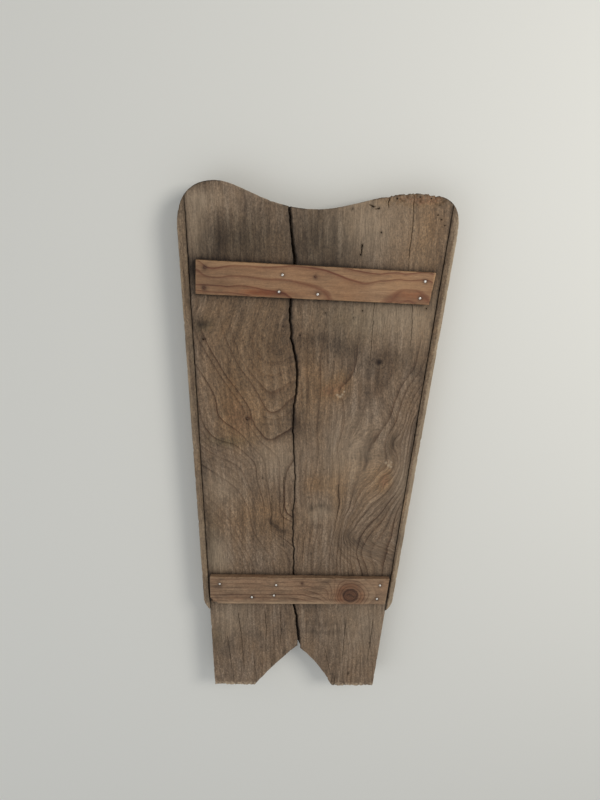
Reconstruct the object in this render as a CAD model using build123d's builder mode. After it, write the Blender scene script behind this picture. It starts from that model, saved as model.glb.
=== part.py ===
"""Wooden toboggan: a tapered plank deck, split down its length, on two edge runners.

Two battens nailed across the deck hold its halves together, and each runner is nailed to a
side edge. The toboggan lies on its runners: +Z is up and +Y is forward, towards the wide end.
The origin is on the ground, below the centre of the plan.

Plan sizes are first measured from the straight line that the split follows (x) and from the
rear feet (y); plan_at() then moves that drawing onto the origin. Everything is in millimetres.
"""
import os
from math import atan2, degrees

from build123d import *

os.makedirs("parts", exist_ok=True)

# ---------------------------------------------------------------- driving dimensions
# Deck plank: widths run from the split's line to each side edge
board_length = 973.0
deck_thickness = 20.0
shoulder_length = 73.0  # front stretch in which the corners are rounded
deck_left_front = 177.5
deck_left_rear = 165.0
deck_right_front = 246.5
deck_right_rear = 157.5

# Front edge: two lobes, of which the left is the longer, and a dip between them
left_lobe_inset = 63.0
left_corner_fullness = 0.65  # 0.55 would be an ellipse and 1 a square corner
left_flank_reaches = (40.0, 84.0)  # how far the lobe's crest and the dip stay level
right_lobe_inset = 73.0
right_lobe_drop = 19.0
right_corner_fullness = 0.75
right_flank_reaches = (48.0, 53.0)
dip_drop = 43.5
dip_x = 35.0

# Notch that leaves two feet at the rear
foot_length = 180.0  # stretch of the deck behind the runners
notch_height = 97.0
notch_apex_x = 3.0
notch_left = 83.0
notch_right = 72.5
notch_left_bow = 3.0
notch_right_bow = 7.0

# Split through the deck: share of the length, x of the split's middle, width of its gap
split_course = (
    (1.02, -13.0, 3.0),
    (0.96, -10.0, 3.2),
    (0.915, -7.5, 3.6),
    (0.87, -1.0, 4.6),
    (0.80, -8.5, 3.2),
    (0.75, -8.0, 3.0),
    (0.69, 1.5, 3.4),
    (0.62, -2.5, 2.2),
    (0.54, -4.0, 1.4),
    (0.49, -1.0, 1.2),
    (0.40, -4.0, 1.2),
    (0.27, -3.0, 2.0),
    (0.20, -2.0, 3.0),
    (0.145, 4.5, 4.0),
    (0.06, 2.5, 4.4),
)

# Runners: planks on edge along both sides of the deck
runner_depth = 50.0
runner_front_thickness = 14.5
runner_rear_thickness = 11.0
runner_end_taper = 22.0
runner_end_bow = 2.0
nose_sweep = 260.0  # length over which the underside rises to the deck
heel_radius = 24.0

# Battens across the deck, both cut and placed by eye
batten_thickness = 12.0
batten_edge_radius = 1.2
front_batten_setback = 113.5  # from the dip to the batten's middle
front_batten_skew = -2.64
front_batten_widths = (55.0, 52.0)  # left end, right end
front_batten_insets = (12.5, 15.0)  # from the deck's side edges
front_batten_rakes = (0.5, 5.5)  # how far each end is out of square
rear_batten_lead = 52.0  # from the runners' rear ends to the batten's middle
rear_batten_skew = -0.1
rear_batten_widths = (59.0, 56.0)
rear_batten_insets = (4.5, 5.0)
rear_batten_rakes = (1.0, 6.0)

# Wire nails
nail_head_radius = 2.5
nail_head_thickness = 1.0
nail_head_proud = 0.25
nail_shank_radius = 1.1
nail_point = 4.0
nail_clearance = 0.05
batten_nail_cover = 3.0  # wood left below the point of a batten nail
runner_nail_bite = 20.0  # how far a runner nail reaches into the deck
runner_nail_count = 5
runner_nail_rear_margin = 26.0
runner_nail_front_margin = 54.0

# Batten nails: each is placed from the left end, the split or the right end of its batten,
# by a distance along the batten and a distance forward of its middle
front_batten_new_nails = (
    ("split", -22.5, 10.5),
    ("split", -27.0, -17.0),
    ("split", 36.5, -18.0),
    ("right", -13.5, 11.5),
    ("right", -19.0, -16.0),
)
front_batten_old_nails = (
    ("left", 15.0, 15.5),
    ("left", 14.0, -17.0),
    ("split", 31.0, 10.0),
)
rear_batten_new_nails = (
    ("left", 19.0, 14.5),
    ("split", -84.0, -14.5),
    ("split", -37.0, 13.0),
    ("split", -41.5, -10.0),
    ("right", -14.5, 14.5),
    ("right", -19.0, -15.5),
)
rear_batten_old_nails = (("split", 12.5, 17.0),)

# ---------------------------------------------------------------- heights and stations
deck_bottom = runner_depth - deck_thickness
deck_top = runner_depth
batten_top = deck_top + batten_thickness
runner_nail_height = deck_top - deck_thickness / 2

front_station = board_length - shoulder_length
dip_y = board_length - dip_drop
right_lobe_y = board_length - right_lobe_drop
front_batten_y = dip_y - front_batten_setback
rear_batten_y = foot_length + rear_batten_lead
batten_nail_length = batten_thickness + deck_thickness - batten_nail_cover
runner_nail_length = runner_front_thickness + runner_nail_bite


# ---------------------------------------------------------------- plan lines
def along(y, y_rear, x_rear, y_front, x_front):
    """Sideways position at y on the straight line between two stations."""
    return x_rear + (x_front - x_rear) * (y - y_rear) / (y_front - y_rear)


def deck_edge(side, y):
    """Side edge of the deck, on the left for side -1 and on the right for side 1."""
    if side < 0:
        return along(y, 0.0, -deck_left_rear, front_station, -deck_left_front)
    return along(y, 0.0, deck_right_rear, front_station, deck_right_front)


def runner_face(side, y):
    """Outer face of the runner on one side."""
    rear_x = deck_edge(side, foot_length) + side * runner_rear_thickness
    front_x = deck_edge(side, front_station) + side * runner_front_thickness
    return along(y, foot_length, rear_x, front_station, front_x)


def draw_plan():
    """Sketch of the whole plan: both runner faces, the lobed front edge and a straight rear."""
    left_x = runner_face(-1, front_station)
    right_x = runner_face(1, front_station)
    left_rear = (runner_face(-1, 0.0), 0.0)
    right_rear = (runner_face(1, 0.0), 0.0)
    left_lobe_x = left_x + left_lobe_inset
    right_lobe_x = right_x - right_lobe_inset
    left_rise = left_corner_fullness * shoulder_length
    left_run = left_corner_fullness * left_lobe_inset
    right_rise = right_corner_fullness * (right_lobe_y - front_station)
    right_run = right_corner_fullness * right_lobe_inset
    with BuildSketch() as plan:
        with BuildLine():
            Bezier(
                (left_x, front_station),
                (left_x, front_station + left_rise),
                (left_lobe_x - left_run, board_length),
                (left_lobe_x, board_length),
            )
            Bezier(
                (left_lobe_x, board_length),
                (left_lobe_x + left_flank_reaches[0], board_length),
                (dip_x - left_flank_reaches[1], dip_y),
                (dip_x, dip_y),
            )
            Bezier(
                (dip_x, dip_y),
                (dip_x + right_flank_reaches[0], dip_y),
                (right_lobe_x - right_flank_reaches[1], right_lobe_y),
                (right_lobe_x, right_lobe_y),
            )
            Bezier(
                (right_lobe_x, right_lobe_y),
                (right_lobe_x + right_run, right_lobe_y),
                (right_x, front_station + right_rise),
                (right_x, front_station),
            )
            Polyline((right_x, front_station), right_rear, left_rear, (left_x, front_station))
        make_face()
    return plan.sketch


whole_plan = draw_plan()
plan_box = whole_plan.bounding_box()
plan_centre = plan_box.center()
beyond_front = plan_box.max.Y + 10.0
beyond_rear = -10.0
beyond_side = plan_box.size.X


def plan_at(height):
    """Plane of the plan drawing at a height, with the drawing's centre over the origin."""
    return Plane(origin=(-plan_centre.X, -plan_centre.Y, height))


side_plane = Plane(origin=(0.0, -plan_centre.Y, 0.0), x_dir=(0.0, 1.0, 0.0), z_dir=(1.0, 0.0, 0.0))


def seat_at(x, y, height, turn=0.0):
    """Location of a point of the plan, turned about the vertical."""
    return plan_at(height).location * Location((x, y, 0.0), (0.0, 0.0, turn))


# ---------------------------------------------------------------- deck
def draw_deck_half(side):
    """Plan of half of the deck plank, on one side of the split."""
    toe_x = -notch_left if side < 0 else notch_right
    bow = notch_left_bow if side < 0 else -notch_right_bow
    past_split_x = notch_apex_x - side * 10.0
    bank_points = [(x + side * gap / 2, share * board_length) for share, x, gap in split_course]
    with BuildSketch() as half:
        add(whole_plan)
        with BuildLine():
            Spline(*bank_points)
            Polyline(
                bank_points[-1],
                (bank_points[-1][0], beyond_rear),
                (deck_edge(side, beyond_rear), beyond_rear),
                (deck_edge(side, beyond_front), beyond_front),
                bank_points[0],
            )
        make_face(mode=Mode.INTERSECT)
        with BuildLine():
            SagittaArc((toe_x, 0.0), (notch_apex_x, notch_height), bow)
            Polyline(
                (notch_apex_x, notch_height),
                (past_split_x, notch_height),
                (past_split_x, 0.0),
                (toe_x, 0.0),
            )
        make_face(mode=Mode.SUBTRACT)
    return half.sketch


# ---------------------------------------------------------------- runners
def draw_runner_plan(side):
    """Plan of a runner: it follows the deck's edge and the lobe, and its rear end tapers."""
    rear_point = (deck_edge(side, foot_length), foot_length)
    taper_y = foot_length + runner_end_taper
    taper_point = (runner_face(side, taper_y), taper_y)
    with BuildSketch() as plan:
        add(whole_plan)
        with BuildLine():
            SagittaArc(rear_point, taper_point, -side * runner_end_bow)
            Polyline(
                taper_point,
                (side * beyond_side, taper_y),
                (side * beyond_side, beyond_front),
                (deck_edge(side, beyond_front), beyond_front),
                rear_point,
            )
        make_face(mode=Mode.INTERSECT)
    return plan.sketch


def draw_runner_side():
    """Side view of a runner: flat sole, rounded heel, and a nose that sweeps up to the deck."""
    with BuildSketch() as view:
        with BuildLine():
            sole = Line((foot_length, 0.0), (plan_box.max.Y - nose_sweep, 0.0))
            nose = TangentArc(sole @ 1, (plan_box.max.Y, deck_bottom), tangent=sole % 1)
            Polyline(
                nose @ 1,
                (beyond_front, deck_bottom),
                (beyond_front, deck_top),
                (foot_length, deck_top),
                sole @ 0,
            )
        make_face()
        heel = view.vertices().group_by(Axis.Y)[0].sort_by(Axis.X)[0]
        fillet(heel, heel_radius)
    return view.sketch


# ---------------------------------------------------------------- battens
def batten_ends(station, insets):
    """Positions of a batten's left and right ends along its own middle line."""
    return deck_edge(-1, station) + insets[0], deck_edge(1, station) - insets[1]


def draw_batten(station, widths, insets, rakes):
    """Plan of a batten about its own middle line, with ends a little out of square."""
    left, right = batten_ends(station, insets)
    with BuildSketch() as plan:
        with BuildLine():
            Polyline(
                (left + rakes[0] / 2, widths[0] / 2),
                (right + rakes[1] / 2, widths[1] / 2),
                (right - rakes[1] / 2, -widths[1] / 2),
                (left - rakes[0] / 2, -widths[0] / 2),
                close=True,
            )
        make_face()
    return plan.sketch


# ---------------------------------------------------------------- nails and their holes
def nail_blank(length, clearance):
    """Wire nail with its point down and its head's underside at z = 0, grown by a clearance."""
    head_radius = nail_head_radius + clearance
    shank_radius = nail_shank_radius + clearance
    with BuildPart() as blank:
        with BuildSketch(Plane.XZ):
            with BuildLine():
                Polyline(
                    (0.0, nail_head_thickness + clearance),
                    (head_radius, nail_head_thickness + clearance),
                    (head_radius, 0.0),
                    (shank_radius, 0.0),
                    (shank_radius, nail_point - length),
                    (0.0, -length - clearance),
                    close=True,
                )
            make_face()
        revolve(axis=Axis.Z)
    return blank.part


def batten_seats(nails, station, skew, insets):
    """Where batten nails' heads sit: a little below the batten's top."""
    left, right = batten_ends(station, insets)
    start = {"left": left, "split": 0.0, "right": right}
    seat_height = batten_top + nail_head_proud - nail_head_thickness
    plane = Plane(seat_at(0.0, station, seat_height, skew))
    return [plane.location * Location((start[end] + x, y, 0.0)) for end, x, y in nails]


def runner_seats(side):
    """Where a runner nail's heads sit: a little below its outer face, square to it."""
    first_y = foot_length + runner_nail_rear_margin
    spacing = (front_station - runner_nail_front_margin - first_y) / (runner_nail_count - 1)
    run = runner_face(side, front_station) - runner_face(side, 0.0)
    turn = -degrees(atan2(run, front_station))
    sunk = Location((side * (nail_head_proud - nail_head_thickness), 0.0, 0.0), (0.0, side * 90.0, 0.0))
    seats = []
    for index in range(runner_nail_count):
        y = first_y + index * spacing
        seats.append(seat_at(runner_face(side, y), y, runner_nail_height, turn) * sunk)
    return seats


front_batten_place = (front_batten_y, front_batten_skew, front_batten_insets)
rear_batten_place = (rear_batten_y, rear_batten_skew, rear_batten_insets)
front_new_seats = batten_seats(front_batten_new_nails, *front_batten_place)
front_old_seats = batten_seats(front_batten_old_nails, *front_batten_place)
rear_new_seats = batten_seats(rear_batten_new_nails, *rear_batten_place)
rear_old_seats = batten_seats(rear_batten_old_nails, *rear_batten_place)
front_seats = front_new_seats + front_old_seats
rear_seats = rear_new_seats + rear_old_seats
left_runner_seats = runner_seats(-1)
right_runner_seats = runner_seats(1)

batten_nail = nail_blank(batten_nail_length, 0.0)
batten_nail_hole = nail_blank(batten_nail_length, nail_clearance)
runner_nail = nail_blank(runner_nail_length, 0.0)
runner_nail_hole = nail_blank(runner_nail_length, nail_clearance)

left_deck_plan = draw_deck_half(-1)
right_deck_plan = draw_deck_half(1)
left_runner_plan = draw_runner_plan(-1)
right_runner_plan = draw_runner_plan(1)
runner_side = draw_runner_side()
front_batten_plan = draw_batten(front_batten_y, front_batten_widths, front_batten_insets, front_batten_rakes)
rear_batten_plan = draw_batten(rear_batten_y, rear_batten_widths, rear_batten_insets, rear_batten_rakes)

# ---------------------------------------------------------------- deck halves
with BuildPart() as left_deck_board:
    with BuildSketch(plan_at(deck_bottom)):
        add(left_deck_plan)
    extrude(amount=deck_thickness)
    with Locations(*front_seats, *rear_seats):
        add(batten_nail_hole, mode=Mode.SUBTRACT)
    with Locations(*left_runner_seats):
        add(runner_nail_hole, mode=Mode.SUBTRACT)

with BuildPart() as right_deck_board:
    with BuildSketch(plan_at(deck_bottom)):
        add(right_deck_plan)
    extrude(amount=deck_thickness)
    with Locations(*front_seats, *rear_seats):
        add(batten_nail_hole, mode=Mode.SUBTRACT)
    with Locations(*right_runner_seats):
        add(runner_nail_hole, mode=Mode.SUBTRACT)

# ---------------------------------------------------------------- runners
with BuildPart() as left_runner:
    with BuildSketch(plan_at(0.0)):
        add(left_runner_plan)
    extrude(amount=runner_depth)
    with BuildSketch(side_plane):
        add(runner_side)
    extrude(amount=beyond_side, both=True, mode=Mode.INTERSECT)
    with Locations(*left_runner_seats):
        add(runner_nail_hole, mode=Mode.SUBTRACT)

with BuildPart() as right_runner:
    with BuildSketch(plan_at(0.0)):
        add(right_runner_plan)
    extrude(amount=runner_depth)
    with BuildSketch(side_plane):
        add(runner_side)
    extrude(amount=beyond_side, both=True, mode=Mode.INTERSECT)
    with Locations(*right_runner_seats):
        add(runner_nail_hole, mode=Mode.SUBTRACT)

# ---------------------------------------------------------------- battens
with BuildPart() as front_batten:
    with BuildSketch(Plane(seat_at(0.0, front_batten_y, deck_top, front_batten_skew))):
        add(front_batten_plan)
    extrude(amount=batten_thickness)
    fillet(front_batten.faces().sort_by(Axis.Z)[-1].edges(), batten_edge_radius)
    with Locations(*front_seats):
        add(batten_nail_hole, mode=Mode.SUBTRACT)

with BuildPart() as rear_batten:
    with BuildSketch(Plane(seat_at(0.0, rear_batten_y, deck_top, rear_batten_skew))):
        add(rear_batten_plan)
    extrude(amount=batten_thickness)
    fillet(rear_batten.faces().sort_by(Axis.Z)[-1].edges(), batten_edge_radius)
    with Locations(*rear_seats):
        add(batten_nail_hole, mode=Mode.SUBTRACT)

# ---------------------------------------------------------------- nails
with BuildPart() as front_new_nails:
    with Locations(*front_new_seats):
        add(batten_nail)

with BuildPart() as front_old_nails:
    with Locations(*front_old_seats):
        add(batten_nail)

with BuildPart() as rear_new_nails:
    with Locations(*rear_new_seats):
        add(batten_nail)

with BuildPart() as rear_old_nail:
    with Locations(*rear_old_seats):
        add(batten_nail)

with BuildPart() as left_nails:
    with Locations(*left_runner_seats):
        add(runner_nail)

with BuildPart() as right_nails:
    with Locations(*right_runner_seats):
        add(runner_nail)

pieces = {
    "left_deck_board": left_deck_board,
    "right_deck_board": right_deck_board,
    "left_runner": left_runner,
    "right_runner": right_runner,
    "front_batten": front_batten,
    "rear_batten": rear_batten,
    "front_batten_new_nails": front_new_nails,
    "front_batten_old_nails": front_old_nails,
    "rear_batten_new_nails": rear_new_nails,
    "rear_batten_old_nail": rear_old_nail,
    "left_runner_nails": left_nails,
    "right_runner_nails": right_nails,
}
for name, piece in pieces.items():
    piece.part.label = name
    export_step(piece.part, f"parts/{name}.step")

box = Compound([piece.part for piece in pieces.values()]).bounding_box()
print(f"toboggan {box.size.X:.1f} x {box.size.Y:.1f} x {box.size.Z:.1f} mm, lowest z {box.min.Z:.2f}")
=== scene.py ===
"""Looks of the wooden toboggan: weathered planks, pine battens and wire nails on a pale floor.

Each wooden CAD node is replaced by a plank mesh with the same outline: its arrises are worn,
its edges chipped, and its cracks and worm holes cut in. Shapes are worked out in plan
millimetres: x from the straight line that the deck's split follows, y from the rear feet and
z from the ground. Grain, stains, wear, painted shade and painted highlights are kept as mesh
attributes, which the materials read.
"""

import math

import bmesh
import bpy
import numpy as np
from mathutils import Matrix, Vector
from mathutils.bvhtree import BVHTree
from mathutils.geometry import delaunay_2d_cdt
from mathutils.kdtree import KDTree


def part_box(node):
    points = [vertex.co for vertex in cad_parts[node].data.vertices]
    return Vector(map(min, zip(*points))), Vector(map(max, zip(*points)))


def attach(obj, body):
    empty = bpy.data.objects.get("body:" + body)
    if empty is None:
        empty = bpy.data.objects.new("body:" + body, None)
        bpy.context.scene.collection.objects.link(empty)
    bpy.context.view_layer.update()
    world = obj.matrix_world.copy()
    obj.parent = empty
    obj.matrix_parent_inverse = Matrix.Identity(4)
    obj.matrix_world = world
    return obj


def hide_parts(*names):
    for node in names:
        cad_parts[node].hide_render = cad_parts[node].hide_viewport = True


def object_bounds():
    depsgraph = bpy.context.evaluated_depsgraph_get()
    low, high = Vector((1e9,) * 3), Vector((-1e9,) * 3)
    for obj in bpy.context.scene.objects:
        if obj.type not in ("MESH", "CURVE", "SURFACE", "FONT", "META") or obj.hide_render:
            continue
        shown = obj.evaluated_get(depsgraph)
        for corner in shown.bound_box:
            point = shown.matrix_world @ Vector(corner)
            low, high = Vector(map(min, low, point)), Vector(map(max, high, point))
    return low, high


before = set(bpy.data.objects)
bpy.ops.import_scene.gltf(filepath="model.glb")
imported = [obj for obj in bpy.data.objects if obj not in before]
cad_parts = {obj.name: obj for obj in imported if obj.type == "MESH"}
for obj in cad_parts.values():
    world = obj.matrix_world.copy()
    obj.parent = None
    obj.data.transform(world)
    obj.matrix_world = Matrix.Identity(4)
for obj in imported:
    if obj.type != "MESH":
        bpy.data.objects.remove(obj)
box_before = [list(corner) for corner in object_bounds()]

# ---- places, from the frame
MM = 1000
left_face_to_split = 0.192  # from the left runner's outer face to the split's line
origin = np.array([box_before[0][0] + left_face_to_split, box_before[0][1], 0])
deck_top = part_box("left_deck_board")[1].z * MM
deck_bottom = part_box("left_deck_board")[0].z * MM
board_length = (box_before[1][1] - box_before[0][1]) * MM
runner_rear = (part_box("left_runner")[0].y - origin[1]) * MM
flank_x = 120  # beyond it lie the deck's side edges
split_reach = 20  # half the width of the strip that the split runs in


def plan_mm(points):
    """Points of the row frame, in metres, as plan millimetres."""
    return (np.asarray(points, float) - origin) * MM


def row_metres(points):
    """Plan millimetres as points of the row frame, in metres."""
    return np.asarray(points, float) / MM + origin


# ---- smooth seeded noise
def lattice_value(i, j, seed):
    """A fixed scrambled value from -1 to 1 for each lattice point."""
    h = (i * 374761393 + j * 668265263 + seed * 1274126177) & 0xFFFFFFFF
    h = ((h ^ (h >> 13)) * 1103515245) & 0xFFFFFFFF
    return ((h ^ (h >> 16)) & 0xFFFF) / 32767.5 - 1


def noise(u, v, seed):
    """Smooth noise from -1 to 1 with a lattice one unit wide."""
    u, v = np.broadcast_arrays(np.asarray(u, float), np.asarray(v, float))
    i, j = np.floor(u).astype(np.int64), np.floor(v).astype(np.int64)
    f, g = u - i, v - j
    f, g = f * f * (3 - 2 * f), g * g * (3 - 2 * g)
    low = lattice_value(i, j, seed) * (1 - f) + lattice_value(i + 1, j, seed) * f
    high = lattice_value(i, j + 1, seed) * (1 - f) + lattice_value(i + 1, j + 1, seed) * f
    return low * (1 - g) + high * g


def rough(u, v, seed):
    """Noise in three sizes, each half as wide and half as strong as the one before."""
    total = sum(noise(u * 2**k, v * 2**k, seed + k) / 2**k for k in range(3))
    return total / 1.6


def step(low, high, value):
    """Smooth step from 0 at low to 1 at high."""
    t = np.clip((value - low) / (high - low), 0, 1)
    return t * t * (3 - 2 * t)


def fall(low, high, value):
    """Smooth step from 1 at low to 0 at high."""
    return 1 - step(low, high, value)


def hump(x, y, spots):
    """Sum of soft spots (x, y, half-width, half-height, strength)."""
    total = np.zeros_like(x)
    for cx, cy, half_width, half_height, strength in spots:
        reach = ((x - cx) / half_width) ** 2 + ((y - cy) / half_height) ** 2
        total += strength * np.exp(-0.5 * reach)
    return total


# ---- outlines of the CAD nodes
RINGS = (0.35, 0.8, 1.4, 2.2, 3.3)  # distances of the rows of points inside an edge
FINE_GRID = 1.3  # spacing of points in a crumbling zone
ROW_PITCH = 0.866  # height of an equilateral triangle with sides of 1
UNEVEN_GRID = 0.18  # how far a point strays from the grid, in spacings
CHIP_REACH = 4  # how far inside an edge its chips are felt
SKIN_GAP = 0.02  # keeps every face just inside the CAD's


def cad_outline(node, height):
    """Outer loop of a CAD node's flat face at a height, counter-clockwise, in plan mm."""
    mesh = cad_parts[node].data
    points = np.round(plan_mm([v.co for v in mesh.vertices]), 3)
    keys = [tuple(p) for p in points]
    level = np.abs(points[:, 2] - height) < 0.02
    edges = set()
    for face in mesh.polygons:
        if all(level[v] for v in face.vertices):
            ring = [keys[v] for v in face.vertices]
            edges.update(zip(ring, ring[1:] + ring[:1]))
    onward = {a: b for a, b in edges if (b, a) not in edges}
    loops = []
    while onward:
        start = min(onward)
        loop, here = [start], onward.pop(start)
        while here != start:
            loop.append(here)
            here = onward.pop(here)
        loops.append(np.array(loop)[:, :2])
    outer = max(loops, key=lambda loop: np.ptp(loop, axis=0).sum())
    return outer if signed_area(outer) > 0 else outer[::-1]


def signed_area(loop):
    following = np.roll(loop, -1, axis=0)
    return 0.5 * np.sum(loop[:, 0] * following[:, 1] - following[:, 0] * loop[:, 1])


def in_zones(points, zones):
    """Which points lie in one of the boxes (x, y, x, y)."""
    found = np.zeros(len(points), bool)
    for x0, y0, x1, y1 in zones:
        found |= np.all((points > (x0, y0)) & (points < (x1, y1)), axis=1)
    return found


def resample(loop, spacing, zones=()):
    """The loop with its corners kept and its long edges divided, finer in the zones."""
    parts = []
    for a, b in zip(loop, np.roll(loop, -1, axis=0)):
        along = np.linspace(0, 1, 9)[:, None]
        fine = in_zones(a + (b - a) * along, zones).any()
        count = max(1, math.ceil(np.linalg.norm(b - a) / (FINE_GRID if fine else spacing)))
        parts.append(a + (b - a) * np.arange(count)[:, None] / count)
    return np.vstack(parts)


def inward_normals(loop):
    along = np.roll(loop, -1, axis=0) - np.roll(loop, 1, axis=0)
    along /= np.linalg.norm(along, axis=1)[:, None]
    return np.column_stack((-along[:, 1], along[:, 0]))


def nearest_on(loop, points):
    """Signed distance inside the loop, the place along it and the inward normal there.

    The loop's points must be close together, as resample() leaves them.
    """
    tree = KDTree(len(loop))
    for index, (x, y) in enumerate(loop):
        tree.insert((x, y, 0), index)
    tree.balance()
    nearest = np.array([tree.find((x, y, 0))[1] for x, y in points])
    spans = np.roll(loop, -1, axis=0) - loop
    lengths = np.linalg.norm(spans, axis=1)
    starts = np.concatenate(([0], np.cumsum(lengths)[:-1]))
    normals = inward_normals(loop)
    gap = np.full(len(points), np.inf)
    place, inward = np.zeros(len(points)), np.zeros((len(points), 2))
    for shift in (0, -1):
        a = (nearest + shift) % len(loop)
        b = (a + 1) % len(loop)
        share = np.einsum("ij,ij->i", points - loop[a], spans[a]) / lengths[a] ** 2
        share = np.clip(share, 0, 1)[:, None]
        away = points - loop[a] - share * spans[a]
        normal = normals[a] * (1 - share) + normals[b] * share
        distance = np.linalg.norm(away, axis=1)
        distance *= np.where(np.einsum("ij,ij->i", away, normal) < 0, -1, 1)
        closer = np.abs(distance) < np.abs(gap) - 1e-9
        gap[closer] = distance[closer]
        place[closer] = (starts[a] + share[:, 0] * lengths[a])[closer]
        inward[closer] = (normal / np.linalg.norm(normal, axis=1)[:, None])[closer]
    return gap, place, inward


# ---- cracks and holes in a face
def crack_line(points, seed):
    """A crack's course with a jagged wobble, as closely spaced points."""
    points = np.asarray(points, float)
    parts = []
    for a, b in zip(points[:-1], points[1:]):
        count = max(2, math.ceil(np.linalg.norm(b - a) / 2))
        parts.append(a + (b - a) * np.arange(count)[:, None] / count)
    line = np.vstack(parts + [points[-1:]])
    y = line[:, 1]
    line[:, 0] += 0.5 * noise(y / 4, 0, seed) + 0.6 * noise(y / 11, 0, seed + 1)
    return line


def line_distance(line, points):
    """Distance to an open line and the share of its length at the nearest place."""
    spans = np.diff(line, axis=0)
    lengths = np.maximum(np.linalg.norm(spans, axis=1), 1e-9)
    starts = np.concatenate(([0], np.cumsum(lengths)[:-1]))
    to_point = points[:, None, :] - line[None, :-1, :]
    share = np.clip(np.einsum("ijk,jk->ij", to_point, spans) / lengths**2, 0, 1)
    away = to_point - share[..., None] * spans[None]
    squared = np.einsum("ijk,ijk->ij", away, away)
    best = squared.argmin(axis=1)
    rows = np.arange(len(points))
    place = (starts[best] + share[rows, best] * lengths[best]) / lengths.sum()
    return np.sqrt(squared[rows, best]), place


def crack_width(width, place):
    """A crack narrows to nothing at its far end and a little at its start."""
    return width * np.minimum(1, np.sqrt(np.clip((1.02 - place) * 2.5, 0.02, 1)))


def near_crack(points, line, width):
    """Which points lie in the box round a crack."""
    low, high = line.min(axis=0) - 3 * width, line.max(axis=0) + 3 * width
    return np.all((points > low) & (points < high), axis=1)


def relief(points, holes, cracks):
    """Depth below the face of the holes and cracks at each point."""
    depth = np.zeros(len(points))
    for x, y, radius, hole_depth in holes:
        reach = np.hypot(points[:, 0] - x, points[:, 1] - y) / radius
        depth = np.maximum(depth, hole_depth * fall(0.7, 1.1, reach))
    for width, crack_depth, line in cracks:
        near = np.flatnonzero(near_crack(points, line, width))
        gap, place = line_distance(line, points[near])
        half = crack_width(width, place) / 2
        depth[near] = np.maximum(depth[near], crack_depth * fall(0.3, 1.15, gap / half))
    return depth


HOLE_RINGS = (0.45, 0.75, 1.05, 1.4)  # rings of points, in radii of the hole
CRACK_ROWS = (-2.2, -1.15, -0.4, 0.4, 1.15, 2.2)  # rows of points, in half widths of the crack


def detail_points(holes, cracks):
    """Extra mesh points that give holes and cracks crisp rims."""
    parts = [np.zeros((0, 2))]
    turn = np.arange(12) * math.tau / 12
    circle = np.column_stack((np.cos(turn), np.sin(turn)))
    for x, y, radius, _ in holes:
        parts.append(np.array([[x, y]]))
        parts += [np.array([x, y]) + circle * radius * share for share in HOLE_RINGS]
    for width, _, line in cracks:
        tangent = np.gradient(line, axis=0)
        tangent /= np.linalg.norm(tangent, axis=1)[:, None]
        normal = np.column_stack((-tangent[:, 1], tangent[:, 0]))
        place = np.linspace(0, 1, len(line))
        half = crack_width(width, place)[:, None] / 2
        parts += [line + normal * half * share for share in CRACK_ROWS]
    return np.vstack(parts)


# ---- plank meshes
def grid_points(low, high, grid, seed):
    """An uneven triangular grid of points that fills a box."""
    row_gap = grid * ROW_PITCH
    rows = np.arange(low[1], high[1], row_gap)
    v, u = np.meshgrid(rows, np.arange(low[0], high[0], grid), indexing="ij")
    u = u + (np.round((v - low[1]) / row_gap) % 2) * grid / 2
    points = np.column_stack((u.ravel(), v.ravel()))
    stray = np.random.default_rng(seed).uniform(-UNEVEN_GRID, UNEVEN_GRID, points.shape)
    return points + stray * grid


def face_points(loop, grid, holes, cracks, zones, seed):
    """Points inside the loop: rows along its edge, an uneven grid and the fine details."""
    normals = inward_normals(loop)
    rows = np.vstack([loop + normals * ring for ring in RINGS])
    inner = grid_points(loop.min(axis=0), loop.max(axis=0), grid, seed)
    inner = inner[~in_zones(inner, zones)]
    for x0, y0, x1, y1 in zones:
        inner = np.vstack((inner, grid_points((x0, y0), (x1, y1), FINE_GRID, seed)))
    details = detail_points(holes, cracks)
    points = np.vstack((rows, inner, details))
    row_least = np.repeat(RINGS, len(loop)) * 0.93
    inner_least = np.full(len(inner), RINGS[-1] + 0.9)
    least = np.concatenate((row_least, inner_least, np.full(len(details), 0.25)))
    keep = nearest_on(loop, points)[0] >= least
    crowded = np.zeros(len(points), bool)
    body = np.arange(len(points)) < len(rows) + len(inner)
    for x, y, radius, _ in holes:
        crowded |= body & (np.hypot(points[:, 0] - x, points[:, 1] - y) < radius * 1.5)
    for width, _, line in cracks:
        near = np.flatnonzero(body & near_crack(points, line, width))
        crowded[near] |= line_distance(line, points[near])[0] < width * 1.3
    return points[keep & ~crowded]


def triangulate(loop, inner):
    """Triangles that fill the loop: points, triangles and the loop's own points in order."""
    points = [Vector(p) for p in np.vstack((loop, inner))]
    found = delaunay_2d_cdt(points, [], [list(range(len(loop)))], 1, 1e-4)
    place = {}
    for new, olds in enumerate(found[3]):
        for old in olds:
            place[old] = new
    border = np.array([place[i] for i in range(len(loop))])
    return np.array([tuple(p) for p in found[0]]), np.array(found[2]), border


def rounding(gap, radius):
    """Drop of a rounded arris at a distance from the edge."""
    inner = np.clip(radius - gap, 0, None)
    return radius - np.sqrt(np.clip(radius**2 - inner**2, 0, None))


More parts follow.
